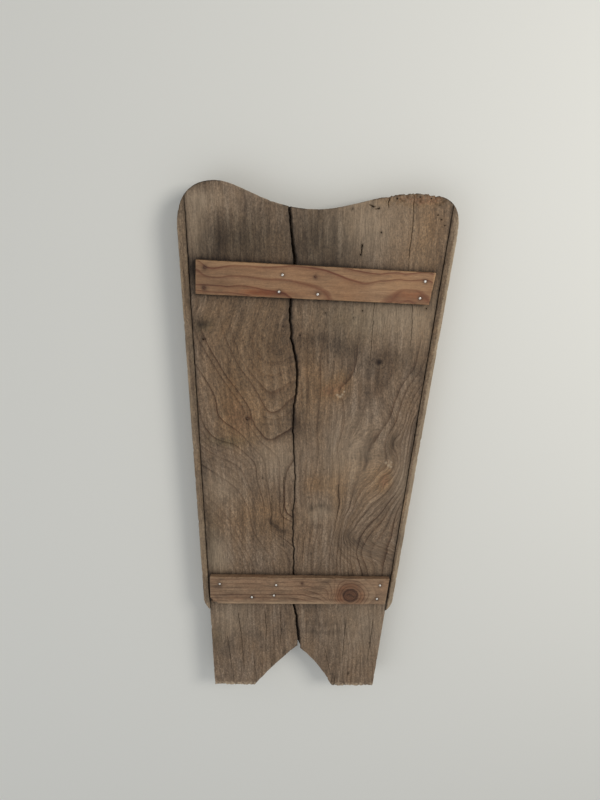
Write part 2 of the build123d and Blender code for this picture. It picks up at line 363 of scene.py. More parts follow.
def plank(spec):
    """Closed plank mesh: (points in plan mm, faces). spec holds the outline and the wear."""
    loop, seed = spec["outline"], spec["seed"]
    holes, cracks = spec.get("holes", ()), spec.get("cracks", ())
    top_inner = face_points(loop, spec["grid"], holes, cracks, spec.get("zones", ()), seed)
    low_inner = face_points(loop, spec["low_grid"], (), (), (), seed + 7)
    top_flat, top_faces, top_border = triangulate(loop, top_inner)
    low_flat, low_faces, low_border = triangulate(loop, low_inner)
    top = skin(spec, top_flat, +1)
    low = skin(spec, low_flat, -1)
    walls = []
    levels = spec["levels"]
    normals = inward_normals(loop)
    place = np.concatenate(([0], np.cumsum(np.linalg.norm(np.diff(loop, axis=0), axis=1))))
    for level in range(1, levels):
        share = level / levels
        row = top[top_border] * (1 - share) + low[low_border] * share
        worn = spec["wall"] * (0.5 + 0.5 * rough(place / 16, row[:, 2] / 5, seed + 40))
        worn *= math.sin(math.pi * share) ** 0.3
        row[:, :2] += normals * worn[:, None]
        walls.append(row)
    points = np.vstack([top, low] + walls)
    count, base = len(loop), len(top) + len(low)
    rows = [top_border] + [base + k * count + np.arange(count) for k in range(levels - 1)]
    rows.append(low_border + len(top))
    faces = [tuple(f) for f in top_faces] + [tuple(f[::-1]) for f in low_faces + len(top)]
    for upper, lower in zip(rows[:-1], rows[1:]):
        quads = np.column_stack((upper, lower, np.roll(lower, -1), np.roll(upper, -1)))
        faces += [tuple(q) for q in quads]
    return points, faces


def skin(spec, flat, side):
    """Top (side 1) or underside (side -1) of a plank, with its worn and chipped edge."""
    seed = spec["seed"] + (0 if side > 0 else 20)
    gap, place, inward = nearest_on(spec["outline"], flat)
    chip = spec["chip"](flat, place, side) * np.exp(-gap / CHIP_REACH)
    out = np.empty((len(flat), 3))
    out[:, :2] = flat + inward * chip[:, None]
    arris = spec["arris"][0 if side > 0 else 1]
    worn = 1 + 0.55 * rough(place / 22, 0, seed + 3) + 0.25 * noise(place / 5, 0.5, seed + 4)
    drop = rounding(gap, np.clip(arris * worn, 0.15, RINGS[-1]))
    uneven = spec["uneven"] * (0.5 + 0.5 * rough(flat[:, 0] / 38, flat[:, 1] / 90, seed + 5))
    drop = drop + uneven + SKIN_GAP
    if side > 0:
        drop = drop + relief(flat, spec.get("holes", ()), spec.get("cracks", ()))
        drop = drop + spec["dents"](flat[:, 0], flat[:, 1])
        out[:, 2] = spec["top"] - drop
    else:
        out[:, 2] = spec["under"](flat) + drop
    return out


def plank_object(name, points, faces):
    """A smooth-shaded object from plan millimetres."""
    mesh = bpy.data.meshes.new(name)
    mesh.from_pydata(row_metres(points).tolist(), [], faces)
    mesh.polygons.foreach_set("use_smooth", np.ones(len(mesh.polygons), bool))
    mesh.validate()
    mesh.update()
    piece = bpy.data.objects.new(name, mesh)
    bpy.context.scene.collection.objects.link(piece)
    return piece


# ---- grain of the wood
class GrainField:
    """Smooth count of growth rings that passes through given levels on given lines."""

    def __init__(self, lines, knots=()):
        self.points = np.array([p for _, *line in lines for p in line], float) / 100
        levels = np.array([level for level, *line in lines for _ in line], float)
        count = len(self.points)
        spread = self._bend(np.linalg.norm(self.points[:, None] - self.points[None], axis=2))
        spread += np.eye(count) * 0.004
        flat = np.column_stack((np.ones(count), self.points))
        system = np.block([[spread, flat], [flat.T, np.zeros((3, 3))]])
        self.weights = np.linalg.solve(system, np.concatenate((levels, np.zeros(3))))
        self.knots = knots

    @staticmethod
    def _bend(r):
        return r * r * np.log(np.maximum(r, 1e-9))

    def __call__(self, x, y):
        at = np.column_stack((x, y)) / 100
        value = self.weights[-3] + at @ self.weights[-2:]
        for point, weight in zip(self.points, self.weights[:-3]):
            value += weight * self._bend(np.hypot(at[:, 0] - point[0], at[:, 1] - point[1]))
        return value + hump(np.asarray(x, float), np.asarray(y, float), self.knots)


# Grain lines of each plank: a ring count, then points along the line that has it
LEFT_GRAIN = (
    (12, (-40, 940), (-38, 860), (-36, 780)),
    (14, (-8, 920), (-8, 800)),
    (8, (-92, 950), (-86, 860), (-80, 780)),
    (3.5, (-142, 940), (-138, 850), (-134, 780)),
    (8, (-60, 735), (-35, 702), (-8, 715)),
    (5, (-78, 662), (-61, 643), (-46, 629), (-28, 635), (-11, 647)),
    (4, (-84, 654), (-69, 631), (-58, 608), (-48, 592), (-30, 594)),
    (1, (-157, 729), (-128, 670), (-100, 627), (-79, 592), (-69, 560), (-52, 541), (-32, 545), (5, 570)),
    (0, (-128, 652), (-94, 602), (-80, 562), (-61, 533), (-40, 514), (-11, 529)),
    (-3, (-165, 664), (-140, 618), (-136, 585), (-96, 548), (-65, 510), (-53, 465), (-46, 389)),
    (-6, (-169, 602), (-144, 541), (-107, 527), (-73, 493)),
    (-9, (-169, 527), (-128, 500), (-94, 472), (-78, 430), (-67, 393)),
    (-12.5, (-161, 477), (-128, 452), (-106, 431), (-90, 397)),
    (-16, (-159, 422), (-136, 397), (-110, 350)),
    (-9, (-18, 310), (-16, 200), (-12, 110)),
    (-14, (-60, 260), (-60, 130)),
    (-19, (-100, 250), (-100, 120), (-96, 10)),
    (-24, (-150, 250), (-146, 110), (-126, 20)),
)
RIGHT_GRAIN = (
    (-7, (8, 920), (8, 700), (8, 540), (6, 330), (10, 130)),
    (-4, (55, 930), (55, 760), (45, 620), (42, 520), (40, 340), (48, 150)),
    (0, (112, 930), (114, 780), (108, 706), (84, 620), (76, 520), (82, 440), (75, 364),
         (66, 300), (86, 120)),
    (2, (204, 668), (178, 618), (157, 560), (134, 514), (115, 460), (100, 402), (88, 372),
         (80, 310), (108, 90)),
    (5, (216, 635), (194, 572), (186, 489), (161, 439), (132, 414), (108, 375), (100, 310), (132, 60)),
    (8, (206, 570), (198, 489), (190, 443), (161, 393), (128, 350), (116, 310), (150, 110)),
    (11, (190, 400), (182, 343), (173, 300), (170, 200)),
    (0.6, (152, 900), (150, 780)),
    (1.2, (186, 940), (190, 790), (180, 720)),
    (1.9, (230, 880), (226, 770)),
)
LEFT_KNOTS = (
    (-88, 576, 5, 5, 1.2), (-46, 560, 10, 8, -0.9), (-45, 372, 12, 10, 2.4), (-23, 357, 8, 6, 1.8),
)
RIGHT_KNOTS = (
    (142, 679, 6, 6, 1.3), (176, 690, 8, 9, 0.5), (175, 530, 7, 12, 1.1), (45, 438, 15, 18, 2.4),
    (100, 345, 10, 10, 1.2), (160, 460, 8, 12, 0.8), (70, 632, 10, 12, 0.8),
)
# Rings whose lines stand out: a ring count, and by how much
LEFT_BOLD = (
    (1, 0.9), (0, 0.75), (-3, 0.8), (-6, 0.65), (4, 0.55), (5, 0.6), (-9, 0.4), (-12, 0.4), (-16, 0.35),
)
RIGHT_BOLD = (
    (0, 0.6), (2, 0.9), (3, 0.4), (5, 0.85), (6, 0.4), (8, 0.8), (9, 0.4), (11, 0.5), (-4, 0.25),
)
# The same for the battens: x from the batten's left end, y from its middle line
FRONT_BATTEN_GRAIN = (
    (0, (0, -19), (53, -21), (91, -25)),
    (1, (0, -12.5), (53, -13), (116, -14.7), (147, -18), (156, -25)),
    (2, (6, 12.8), (53, 5.7), (116, 2.5), (162, 1.6), (203, -5.8), (219, -14.4), (225, -27)),
    (3, (17, 18), (90, 22.5), (159, 26.5), (209, 22.6), (240, 13), (259, 8), (300, 9),
         (334, 13), (378, 13.5)),
    (4, (250, 25), (300, 19), (340, 21), (390, 22)),
    (2, (322, -13), (350, -4.5), (380, -13), (350, -22)),
    (1.4, (350, -13)),
    (2.5, (270, -20)),
)
KNOT = (269.5, -9)  # middle of the rear batten's knot
REAR_BATTEN_GRAIN = (
    (-1, (4, -21), (124, -22), (170, -26)),
    (0, (4, -15), (124, -15), (185, -20), (212, -27)),
    (1, (4, -9), (80, -7), (155, -6), (206, -14), (228, -26)),
    (2, (4, -1), (100, 2), (179, 4.5), (200, -3), (222, -17)),
    (3, (4, 8), (100, 9), (170, 12), (215, 8), (228, -8)),
    (4, (4, 17), (100, 18), (200, 20), (232, 12), (236, -8)),
    (5.5, (269, 27), (243, 14), (236, -14), (298, 14), (308, -8), (300, -24)),
    (8.5, (269, 7), (253, -9), (286, -9), (269, -25)),
    (9.5, (269, -9)),
    (4.6, (316, 24), (326, 5), (330, -15)),
)


def batten_axes(outline):
    """A batten's left end on its middle line, and its direction."""
    centre = (outline.min(axis=0) + outline.max(axis=0)) / 2
    right = outline[outline[:, 0] > centre[0]].mean(axis=0)
    left = outline[outline[:, 0] < centre[0]].mean(axis=0)
    direction = (right - left) / np.linalg.norm(right - left)
    ends = (outline - centre) @ direction
    return centre + direction * ends.min(), direction


def batten_local(outline, points):
    """Distances along a batten and up from its middle line."""
    start, direction = batten_axes(outline)
    away = points - start
    return away @ direction, away @ np.array([-direction[1], direction[0]])


# ---- stains, wear and painted shadow of the deck
# Soft spots: x, y, half-width, half-height and strength
DARK = (
    (-115, 888, 38, 26, 0.64), (-138, 862, 26, 20, 0.1), (-60, 862, 46, 26, 0.22),
    (-40, 905, 36, 30, 0.16), (32, 885, 34, 40, 0.62), (80, 858, 28, 20, 0.3), (-70, 705, 60, 70, 0.26),
    (-35, 705, 24, 20, 0.22), (62, 716, 34, 10, 0.4), (92, 700, 20, 12, 0.42), (20, 702, 22, 20, 0.22),
    (160, 684, 34, 11, 0.3), (118, 672, 30, 7, 0.25), (202, 668, 14, 12, 0.45), (178, 700, 26, 8, 0.2),
    (150, 640, 30, 20, 0.15), (-4, 576, 12, 20, 0.6), (22, 560, 20, 10, 0.3), (-42, 560, 20, 12, 0.3),
    (174, 531, 5, 10, 0.7), (168, 508, 4, 7, 0.45), (-158, 745, 10, 7, 0.7), (-46, 372, 6, 6, 0.8),
    (-38, 364, 5, 4, 0.6), (-23, 358, 8, 4, 0.8), (-68, 362, 4, 9, 0.4), (-18, 349, 10, 3, 0.3),
    (30, 404, 6, 4, 0.5), (47, 410, 10, 3, 0.5), (60, 402, 5, 5, 0.35), (40, 363, 9, 3, 0.5),
    (92, 336, 14, 16, 0.35), (100, 352, 7, 7, 0.3), (116, 330, 14, 8, 0.35), (-160, 330, 8, 56, 0.4),
    (60, 132, 42, 5, 0.4), (55, 152, 36, 5, 0.35), (-95, 205, 16, 8, 0.3), (142, 679, 4, 4, 0.8),
    (140, 655, 4, 14, 0.25), (14, 200, 18, 14, 0.3), (60, 190, 26, 8, 0.25), (-112, 436, 10, 6, 0.2),
    # the spot at (-168, 838) is a painted shadow, cast by the front batten's left end
    (20, 720, 12, 6, 0.2), (-168, 838, 9, 12, 0.6), (150, 690, 24, 8, 0.25), (70, 660, 16, 16, 0.2),
)
WARM = (
    (205, 895, 30, 62, 0.42), (76, 640, 12, 20, 0.6), (58, 626, 12, 9, 0.6), (162, 460, 9, 15, 0.75),
    (45, 450, 22, 13, 0.5), (-80, 700, 60, 90, 0.4), (-105, 560, 26, 30, 0.3), (-112, 610, 24, 44, 0.32),
    (-60, 380, 60, 36, 0.45), (80, 430, 8, 36, 0.45), (132, 468, 30, 40, 0.4), (190, 948, 52, 6, 0.9),
    (20, 620, 26, 44, 0.4), (215, 760, 16, 60, 0.45), (-70, 560, 30, 30, 0.3), (10, 40, 60, 40, 0.1),
)
PALE = (
    (-162, 905, 13, 32, 0.55), (-145, 945, 26, 10, 0.35), (120, 905, 42, 36, 0.45),
    (100, 955, 60, 10, 0.3), (150, 765, 44, 28, 0.42), (208, 760, 24, 44, 0.35), (200, 455, 12, 36, 0.35),
    (145, 150, 46, 60, 0.3), (-130, 165, 28, 30, 0.35), (100, 505, 38, 50, 0.35),
    (-35, 500, 28, 28, 0.35), (-140, 440, 26, 24, 0.3), (45, 395, 18, 16, 0.35),
    (-150, 300, 16, 30, 0.65), (20, 965, 30, 10, 0.2), (-40, 960, 30, 8, 0.2),
)
GREEN = (
    (-126, 534, 22, 6, 0.8), (-158, 118, 12, 18, 0.5), (100, 752, 46, 26, 0.45), (-156, 742, 12, 9, 0.6),
    (-90, 880, 40, 30, 0.35), (-158, 330, 10, 60, 0.35), (40, 880, 40, 40, 0.3),
)
# Flaked spots: x, y, half-width and half-height
CHIPS = (
    (72, 621, 1.5, 1.1), (77, 618, 1.9, 1.3), (81, 622, 1.2, 1.1), (84, 627, 1, 1), (163, 494, 1.3, 1.6),
    (168, 489, 1.7, 1.3), (172, 486, 1.4, 1), (172, 495, 0.9, 1.5),
)


def deck_chip(name):
    """How far an edge of the deck is chipped back, by where it is."""
    seed = {"left_deck_board": 3, "right_deck_board": 9}[name]

    def chip(points, place, side):
        x, y = points.T
        feet = fall(2, 9, y)
        notch = fall(92, 100, y) * (np.abs(x) < 90) * (1 - feet)
        notch = notch * step(5, 16, np.abs(x - 4))
        rim = step(132, 150, x) * fall(222, 240, x) * step(925, 940, y)
        flank = step(runner_rear - 4, runner_rear + 4, y) * (np.abs(x) > flank_x) * fall(895, 930, y)
        bite = 0.7 * rough(place / 9, side * 2, seed) + 0.5 * rough(place / 2.6, side, seed + 7)
        bite = np.clip(0.25 + bite, 0, None)
        nick = np.clip(rough(place / 9, side * 3, seed + 5) - 0.25, 0, None)
        return 0.15 + (2.4 * feet + 1.1 * notch + 3.4 * rim) * bite + 0.55 * flank + 1.4 * nick

    return chip


def deck_dents(x, y):
    """Eaten rim and feet, flaked spots and one worn hollow in the deck's face."""
    rim = step(132, 150, x) * fall(228, 242, x) * step(928, 944, y)
    eaten = rim * np.clip(0.35 + 1.6 * rough(x / 4, y / 3, 61), 0, None) * 1.9
    feet = fall(2, 10, y) * np.clip(0.1 + 1.6 * rough(x / 2.4, y / 5, 62), 0, None) * 1.6
    patches = hump(x, y, [(cx, cy, w * 1.4, h * 1.4, 1) for cx, cy, w, h in CHIPS])
    patches = patches * (0.7 + 0.6 * noise(x / 2.5, y / 2.5, 63))
    worn = hump(x, y, [(70, 625, 16, 18, 0.5)]) * (0.5 + 0.5 * rough(x / 3, y / 6, 64))
    return eaten + feet + patches + worn


# Worm and nail holes: x, y, radius and depth. Cracks: width, depth and course
LEFT_HOLES = (
    (-158, 718, 1.7, 5), (-154, 719, 1, 3), (-87, 575, 1.2, 4), (-61, 462, 1.1, 3), (-22, 741, 0.8, 3),
)
RIGHT_HOLES = (
    (122, 934, 1.3, 6), (132, 931, 1.2, 6), (137, 894, 1.2, 6), (107, 873, 1.3, 7), (105, 859, 1.3, 7),
    (49, 764, 1.1, 4), (217, 772, 1.1, 5), (111, 768, 1.1, 4), (7, 726, 1, 4), (226, 921, 1.2, 4),
    (232, 914, 1.1, 3), (90, 930, 0.9, 3), (147, 105, 1.2, 4), (51, 480, 0.9, 3), (96, 756, 0.8, 3),
    (238, 905, 0.8, 3), (160, 946, 1.2, 4), (196, 948, 1.1, 4), (214, 946, 1, 4), (228, 936, 0.9, 3),
)
LEFT_CRACKS = (
    (0.9, 2.5, ((-22, 462), (-23, 380), (-22, 305))),
    (1, 2.2, ((-30, 176), (-29, 130), (-31, 100))),
    (1.1, 2.4, ((-60, 178), (-58, 130), (-60, 84))),
    (1.1, 2.4, ((-112, 172), (-108, 120), (-104, 50))),
    (0.9, 2, ((-84, 70), (-80, 20), (-80, 2))),
    (0.9, 1.8, ((-46, 440), (-44, 400), (-46, 350))),
    (0.9, 1.8, ((-136, 120), (-130, 60), (-126, 8))),
)
RIGHT_CRACKS = (
    (1.1, 4, ((186, 952), (187, 905), (184, 866), (183, 826))),
    (1.5, 5, ((148, 946), (146, 938), (147, 931))),
    (2, 7, ((107, 874), (106, 866), (106, 859))),
    (1.6, 5, ((118, 936), (123, 933), (126, 934))),
    (1.5, 5, ((128, 930), (133, 931))),
    (1.6, 4, ((106, 34), (106, 26))),
    (0.9, 1.8, ((193, 778), (195, 740), (194, 698))),
    (0.8, 1.4, ((130, 782), (129, 730), (126, 676))),
    (1.1, 3, ((78, 3), (79, 14), (82, 28))),
    (0.9, 2, ((72, 2), (73, 12), (73, 20))),
    (0.9, 1.8, ((78, 448), (80, 410), (72, 365))),
    (1, 2, ((152, 160), (150, 120), (144, 60))),
    (0.9, 1.8, ((98, 150), (96, 110), (94, 60))),
    (0.9, 1.8, ((60, 86), (66, 50), (72, 24))),
)


SPLIT_SLANT = -8.5  # x of the underside of the split, from its top


def left_bank():
    """The split's left edge, from the notch to the front, in order of y."""
    edge = cad_outline("left_deck_board", deck_top)
    bank = edge[(np.abs(edge[:, 0]) < split_reach + 2) & (edge[:, 1] > 95)]
    return bank[np.argsort(bank[:, 1])]


def shape_split(points):
    """Moves both banks of the split alike: jagged like torn wood, and aslant through the plank."""
    x, y, z = points.T
    bank = left_bank()
    jag = 1.2 * noise(y / 15, z / 40, 71) + 0.75 * noise(y / 6, z / 14, 72)
    jag += 0.3 * noise(y / 2.6, z / 5, 73)
    slant = SPLIT_SLANT * (deck_top - z) / (deck_top - deck_bottom)
    away = x - np.interp(y, bank[:, 1], bank[:, 0]) - 2
    near = np.exp(-((away / split_reach) ** 2))
    points[:, 0] += (jag + slant) * near * step(94, 100, y)


def nail_heads(node):
    """Heads and tips of the nails in a CAD node, in plan mm: (head centre, tip)."""
    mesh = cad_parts[node].data
    points = np.round(plan_mm([v.co for v in mesh.vertices]), 2)
    group = {tuple(p): tuple(p) for p in points}

    def root(key):
        while group[key] != key:
            group[key] = group[group[key]]
            key = group[key]
        return key

    for face in mesh.polygons:
        first = root(tuple(points[face.vertices[0]]))
        for v in face.vertices[1:]:
            group[root(tuple(points[v]))] = first
    members = {}
    for key in group:
        members.setdefault(root(key), []).append(key)
    found = []
    for body in members.values():
        body = np.array(body)
        along = body @ np.linalg.svd(body - body.mean(axis=0))[2][0]
        ends = [body[along < along.min() + 0.3], body[along > along.max() - 0.3]]
        ends.sort(key=lambda end: np.ptp(end, axis=0).max())
        found.append((ends[1].mean(axis=0), ends[0].mean(axis=0)))
    return found


# ---- nodes for the materials
def paint(red, green, blue):
    """A colour given in 0-255 display values, as linear light."""
    shares = [c / 255 for c in (red, green, blue)]
    return [s / 12.92 if s <= 0.04045 else ((s + 0.055) / 1.055) ** 2.4 for s in shares] + [1]


class Nodes:
    """Short calls that add nodes to one material."""

    def __init__(self, name):
        self.material = bpy.data.materials.new(name)
        self.material.use_nodes = True
        self.tree = self.material.node_tree
        self.tree.nodes.clear()

    def add(self, kind, **settings):
        node = self.tree.nodes.new("ShaderNode" + kind)
        for key, value in settings.items():
            setattr(node, key, value)
        return node

    def feed(self, socket, source):
        if isinstance(source, bpy.types.NodeSocket):
            self.tree.links.new(source, socket)
        else:
            socket.default_value = source

    def attribute(self, name, kind="Fac"):
        return self.add("Attribute", attribute_name=name).outputs[kind]

    def fill(self, node, sources):
        """Feeds the sockets of a node, by name or number."""
        for key, source in sources.items():
            self.feed(node.inputs[key], source)

    def math(self, operation, a, b=0, c=0, clamp=False):
        node = self.add("Math", operation=operation, use_clamp=clamp)
        self.fill(node, {0: a, 1: b, 2: c})
        return node.outputs[0]

    def times(self, a, b, clamp=False):
        return self.math("MULTIPLY", a, b, clamp=clamp)

    def sum_of(self, value, factor, rest):
        """value * factor + rest"""
        return self.math("MULTIPLY_ADD", value, factor, rest)

    def mix(self, factor, a, b, blend="MIX"):
        node = self.add("Mix", data_type="RGBA", blend_type=blend)
        self.fill(node, {0: factor, 6: a, 7: b})  # the sockets of its colour mode
        return node.outputs[2]

    def noise(self, vector, factors, detail=3, rough=0.55, distortion=0):
        """Noise whose grains are 1 / factors long in each direction."""
        stretched = self.add("VectorMath", operation="MULTIPLY")
        self.fill(stretched, {0: vector, 1: factors})
        node = self.add("TexNoise")
        self.fill(node, {"Vector": stretched.outputs[0], "Scale": 1, "Detail": detail})
        self.fill(node, {"Roughness": rough, "Distortion": distortion})
        return node.outputs[0]

    def ramp(self, value, *stops):
        node = self.add("ValToRGB")
        self.feed(node.inputs[0], value)
        marks = node.color_ramp.elements
        while len(marks) < len(stops):
            marks.new(0.5)
        for mark, (place, colour) in zip(marks, stops):
            mark.position = place
            mark.color = colour if isinstance(colour, list) else (colour, colour, colour, 1)
        return node.outputs[0]

    def finish(self, colour, roughness, height, relief, metallic=0, specular=0.5):
        """Shader and output. relief is the depth in metres of the bump that height draws."""
        shader = self.add("BsdfPrincipled")
        self.fill(shader, {"Base Color": colour, "Roughness": roughness})
        self.fill(shader, {"Metallic": metallic, "Specular IOR Level": specular})
        if height is not None:
            bump = self.add("Bump")
            self.fill(bump, {"Strength": 1, "Distance": relief, "Height": height})
            self.fill(shader, {"Normal": bump.outputs[0]})
        output = self.add("OutputMaterial")
        self.fill(output, {"Surface": shader.outputs[0]})
        return self.material


def wood_material(name, look):
    """Wood whose rings, fibres, stains, wear, painted shade and painted highlights follow the piece's
    attributes.
    """
    n = Nodes(name)
    fibre = n.attribute("fibre", "Vector")
    tone = n.add("Attribute", attribute_name="tone")
    parts = n.add("SeparateColor")
    n.feed(parts.inputs[0], tone.outputs["Color"])
    stain_and_shade, warm, pale = parts.outputs[:3]

    def shaded(colour, strength, field, *stops):
        return n.mix(look[strength], colour, n.ramp(field, *stops), "MULTIPLY")

    threads = n.noise(fibre, (0.8, 0.045, 0.8), 5, 0.64)
    streaks = n.noise(fibre, (0.13, 0.011, 0.13), 5, 0.62)
    blotches = n.noise(fibre, (0.03, 0.013, 0.03), 3, 0.6)
    pores = n.noise(fibre, (1.7, 0.11, 1.7), 2, 0.5)
    grit = n.noise(fibre, (0.36, 0.22, 0.36), 5, 0.85)
    mottle = n.noise(fibre, (0.15, 0.08, 0.15), 5, 0.7, 0.6)
    wander = n.noise(fibre, (0.07, 0.02, 0.07), 3, 0.5)
    broken = n.ramp(grit, (0.32, 0.45), (0.62, 1))

    count = n.sum_of(n.math("SUBTRACT", threads, 0.5), look["ragged"], n.attribute("ring"))
    count = n.sum_of(n.math("SUBTRACT", wander, 0.5), look["wander"], count)
    age = n.add("TexWhiteNoise", noise_dimensions="1D")
    n.feed(age.inputs["W"], n.math("FLOOR", count))
    strength = n.times(n.attribute("bold"), n.sum_of(age.outputs["Value"], 0.4, 0.6))
    late = n.times(n.ramp(n.math("FRACT", count), *look["late_profile"]), strength)

    colour = n.ramp(streaks, (0.3, look["dark"]), (0.5, look["mid"]), (0.7, look["light"]))
    colour = n.mix(n.ramp(blotches, (0.38, 0), (0.68, look["warmth"])), colour, look["warm"])
    colour = n.mix(n.times(late, look["late_strength"]), colour, look["late"], "MULTIPLY")
    colour = shaded(colour, "threaded", threads, (0.3, 0.6), (0.5, 0.98), (0.72, 1.28))
    colour = shaded(colour, "gritty", grit, (0.34, 0.5), (0.5, 0.98), (0.66, 1.45))
    colour = shaded(colour, "mottled", mottle, (0.3, 0.66), (0.5, 0.98), (0.7, 1.3))
    colour = n.mix(n.ramp(pores, (0.30, look["pores"]), (0.39, 0)), colour, look["pore"])
    colour = n.mix(n.times(tone.outputs["Alpha"], broken, True), colour, look["green"], "MULTIPLY")
    glow = n.ramp(n.times(warm, broken, True), (0, 1), (0.45, look["tan"]), (1, look["red"]))
    colour = n.mix(1, colour, glow, "MULTIPLY")
    # the tone's third channel pales the wood: wear, and on the runners also a painted highlight
    worn = n.times(pale, n.ramp(threads, (0.35, 0.45), (0.65, 1.1)), True)
    colour = n.mix(worn, colour, look["pale"])
    # the tone's first channel darkens the wood: stains, and painted shade
    stained_and_shaded = n.times(stain_and_shade, n.ramp(streaks, (0.3, 1.1), (0.7, 0.75)), True)
    colour = n.mix(stained_and_shaded, colour, look["stain_and_shade"], "MULTIPLY")

    roughness = n.sum_of(threads, 0.22, look["roughness"])
    height = n.sum_of(threads, 0.9, n.times(late, look["ridge"]))
    height = n.sum_of(n.ramp(pores, (0.3, 0), (0.42, 1)), 0.4, height)
    height = n.sum_of(grit, 0.35, height)
    return n.finish(colour, roughness, height, look["relief"], specular=look["gloss"])


SOFT_LATE = ((0, 0), (0.5, 0.06), (0.8, 0.6), (0.92, 1), (1, 0))
PINE_LATE = ((0, 0.5), (0.06, 0), (0.6, 0.05), (0.84, 0.4), (0.93, 1), (1, 0.6))
# Colours of the wood, and how much of each effect it shows. Values over 255 brighten
DECK_LOOK = dict(
    dark=paint(93, 77, 62), mid=paint(121, 102, 83), light=paint(146, 127, 107), warm=paint(133, 107, 80),
    warmth=0.5, mottled=0.8, late=paint(148, 121, 98), late_strength=1, late_profile=SOFT_LATE,
    ragged=0.15, wander=0.3, pores=0.55, pore=paint(58, 46, 36), green=paint(196, 206, 186),
    tan=paint(266, 252, 228), red=paint(266, 230, 208), pale=paint(178, 158, 132), threaded=0.65,
    gritty=1, stain_and_shade=paint(118, 112, 106), roughness=0.62, ridge=0.7, relief=0.0005, gloss=0.35,
)
RUNNER_LOOK = DECK_LOOK | dict(
    dark=paint(110, 91, 74), mid=paint(140, 119, 97), light=paint(164, 142, 118),
    pale=paint(190, 170, 142), late_strength=0.9, relief=0.0006,
)
FRONT_BATTEN_LOOK = DECK_LOOK | dict(
    dark=paint(124, 93, 66), mid=paint(142, 109, 79), light=paint(160, 126, 94), warm=paint(150, 108, 72),
    warmth=0.5, mottled=0.35, late=paint(166, 100, 70), late_strength=1, late_profile=PINE_LATE,
    ragged=0.04, wander=0.08, pores=0.3, pore=paint(96, 64, 44), tan=paint(232, 196, 176),
    red=paint(200, 144, 118), pale=paint(196, 158, 114), stain_and_shade=paint(120, 104, 92), threaded=0.5,
    gritty=0.25, roughness=0.5, ridge=0.3, relief=0.0002, gloss=0.4,
)
REAR_BATTEN_LOOK = DECK_LOOK | dict(
    dark=paint(110, 87, 67), mid=paint(134, 108, 83), light=paint(156, 129, 102),
    warm=paint(142, 106, 78), warmth=0.5, mottled=0.6, late=paint(132, 86, 64), late_strength=1,
    late_profile=PINE_LATE, ragged=0.07, wander=0.1, pores=0.45, pore=paint(70, 50, 38),
    tan=paint(224, 196, 180), red=paint(164, 138, 126), pale=paint(186, 158, 126),
    stain_and_shade=paint(96, 84, 76), threaded=0.65, gritty=0.45, roughness=0.55, ridge=0.45, relief=0.00028,
    gloss=0.35,
)


def bright_nail_material():
    n = Nodes("worn_steel_with_painted_glint")
    place = n.add("TexCoord").outputs["Object"]
    scratches = n.noise(place, (900, 2600, 900), 4, 0.7)
    spots = n.noise(place, (700, 700, 700), 3, 0.6)
    # near-white base colour with little metal: a painted glint, so the new nails look bright from every
    # side
    colour = n.mix(n.ramp(spots, (0.44, 0), (0.6, 0.7)), paint(242, 238, 230), paint(150, 136, 118))
    roughness = n.sum_of(scratches, 0.4, 0.2)
    return n.finish(colour, roughness, scratches, 0.00005, metallic=0.55)


def rusty_nail_material():
    n = Nodes("rusted_steel")
    place = n.add("TexCoord").outputs["Object"]
    scale = n.noise(place, (1500, 1500, 1500), 4, 0.7)
    rusts = ((0.35, paint(52, 38, 32)), (0.55, paint(96, 62, 44)), (0.7, paint(128, 84, 56)))
    colour = n.ramp(scale, *rusts)
    roughness = n.sum_of(scale, 0.3, 0.55)
    return n.finish(colour, roughness, scale, 0.00015, metallic=0.3)


# ---- attributes of each piece
def set_attribute(mesh, name, kind, values):
    attribute = mesh.attributes.new(name, kind, "POINT")
    field = {"FLOAT": "value", "FLOAT_VECTOR": "vector", "FLOAT_COLOR": "color"}[kind]
    attribute.data.foreach_set(field, np.asarray(values, np.float32).ravel())


def dress(piece, material, fibre, ring, bold, tone, node):
    """Gives a piece its attributes and material, and puts it in the CAD node's place."""
    mesh = piece.data
    set_attribute(mesh, "fibre", "FLOAT_VECTOR", np.column_stack(fibre))
    set_attribute(mesh, "ring", "FLOAT", ring)
    set_attribute(mesh, "bold", "FLOAT", bold)
    set_attribute(mesh, "tone", "FLOAT_COLOR", np.column_stack(tone))
    mesh.materials.append(material)
    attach(piece, "root")
    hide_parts(node)


def nail_dents(heads):
    """Shallow dimples that the nails were driven into."""

    def dents(x, y):
        return hump(x, y, [(head[0], head[1], 2.4, 2.4, 0.5) for head, _ in heads])

    return dents


# ---- the wooden pieces
# Bright and rusty nails of each batten
batten_nails = {
    "front_batten": (nail_heads("front_batten_new_nails"), nail_heads("front_batten_old_nails")),
    "rear_batten": (nail_heads("rear_batten_new_nails"), nail_heads("rear_batten_old_nail")),
}
batten_outlines = {name: cad_outline(name, deck_top) for name in batten_nails}


